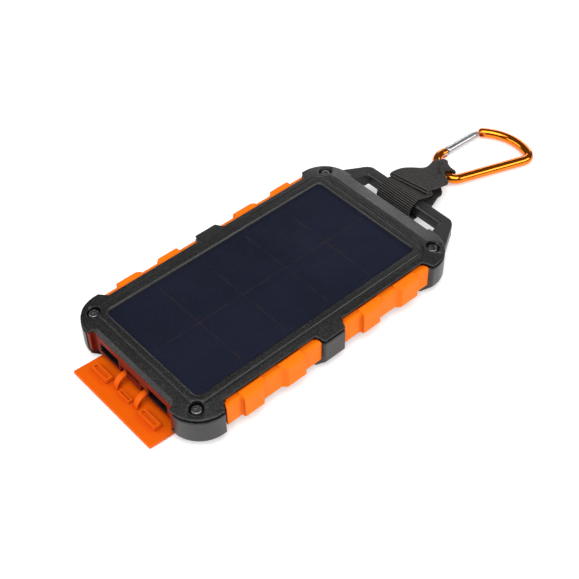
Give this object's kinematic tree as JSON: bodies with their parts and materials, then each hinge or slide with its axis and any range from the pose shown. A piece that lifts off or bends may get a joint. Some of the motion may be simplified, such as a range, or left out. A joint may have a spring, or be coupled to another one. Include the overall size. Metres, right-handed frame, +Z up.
{
  "type": "solar phone charger",
  "caption": "Rugged rectangular power bank with a solar panel on top, orange grip bands, a hinged port flap, and a webbing strap with a carabiner.",
  "frame": {"origin": "middle of the flat underside of the case", "axes": "+Z up out of the solar panel, +Y along the case towards the lanyard loop, +X across the case; the ports are at the -Y end"},
  "size_m": [0.0896, 0.2624, 0.0205],
  "materials": {
    "case_black": "fine textured black plastic",
    "grip_orange": "matt orange elastomer",
    "seal_rubber": "soft black",
    "panel_sheet": "clear glossy laminate over dark cells",
    "cell_blue": "dark navy silicon",
    "board_green": "solder mask",
    "screw_black": "black oxide",
    "insert_brass": "knurled brass",
    "pouch_foil": "laminated foil",
    "foam_grey": "closed-cell foam",
    "lead_red": "insulated wire",
    "steel_plain": "plain steel",
    "chip_black": "moulded epoxy",
    "capacitor_tan": "ceramic",
    "port_steel": "plated steel",
    "plunger_white": "plain",
    "button_black": "satin black",
    "lens_clear": "clear moulding",
    "led_yellow": "phosphor",
    "reflector_chrome": "metallised",
    "webbing_black": "woven nylon webbing",
    "anodised_orange": "glossy orange anodising",
    "gate_silver": "bright anodised"
  },
  "bodies": {
    "case": {"top_cover": "case_black", "bottom_shell": "case_black", "grip_band_left": "grip_orange", "grip_band_right": "grip_orange", "port_frame": "grip_orange", "seal_gasket": "seal_rubber", "panel_cover_sheet": "panel_sheet", "solar_cells": "cell_blue", "panel_backing": "board_green", "panel_adhesive": "seal_rubber", "case_screws": "screw_black", "screw_inserts": "insert_brass", "battery_cell_lower": "pouch_foil", "battery_cell_upper": "pouch_foil", "battery_foam": "foam_grey", "protection_board": "board_green", "battery_leads": "lead_red", "solar_leads": "lead_red", "main_board": "board_green", "board_screws": "steel_plain", "power_chips": "chip_black", "inductor": "chip_black", "capacitors": "capacitor_tan", "usb_a_shell_left": "port_steel", "usb_a_tongue_left": "chip_black", "usb_a_shell_right": "port_steel", "usb_a_tongue_right": "chip_black", "usb_c_shell": "port_steel", "usb_c_tongue": "chip_black", "button_board": "board_green", "tact_switch": "chip_black", "indicator_leds": "lens_clear", "light_pipes": "lens_clear", "torch_led": "led_yellow", "torch_reflector": "reflector_chrome", "torch_lens": "lens_clear"},
    "flap": {"port_flap": "grip_orange", "flap_tethers": "grip_orange"},
    "button": {"power_button": "button_black", "switch_plunger": "plunger_white"},
    "strap": {"lanyard_strap": "webbing_black"},
    "carabiner": {"carabiner_body": "anodised_orange", "gate_pin": "steel_plain"},
    "gate": {"carabiner_gate": "gate_silver", "gate_spring": "steel_plain"}
  },
  "joints": [
    {"name": "flap_hinge", "type": "hinge", "parent": "case", "child": "flap", "pos_m": [0, -0.07303, 0.0038], "axis": [-1, 0, 0], "range_deg": [-15, 86]},
    {"name": "button_slide", "type": "slide", "parent": "case", "child": "button", "axis": [1, 0, 0], "range_m": [0, 0.0004], "stiffness_N_per_m": 2500},
    {"name": "strap_swing", "type": "hinge", "parent": "case", "child": "strap", "pos_m": [0, 0.08975, 0.0118], "axis": [1, 0, 0], "range_deg": [-77, 110]},
    {"name": "carabiner_swing", "type": "hinge", "parent": "strap", "child": "carabiner", "pos_m": [-0.0008, 0.123, 0.00415], "axis": [0.9483, -0.3173, 0], "range_deg": [-60, 90]},
    {"name": "gate_hinge", "type": "hinge", "parent": "carabiner", "child": "gate", "pos_m": [-0.01859, 0.13528, 0.00395], "axis": [-0.0105, -0.0314, -0.9995], "range_deg": [0, 26], "stiffness_Nm_per_rad": 0.03, "springref_deg": -22.92}
  ]
}
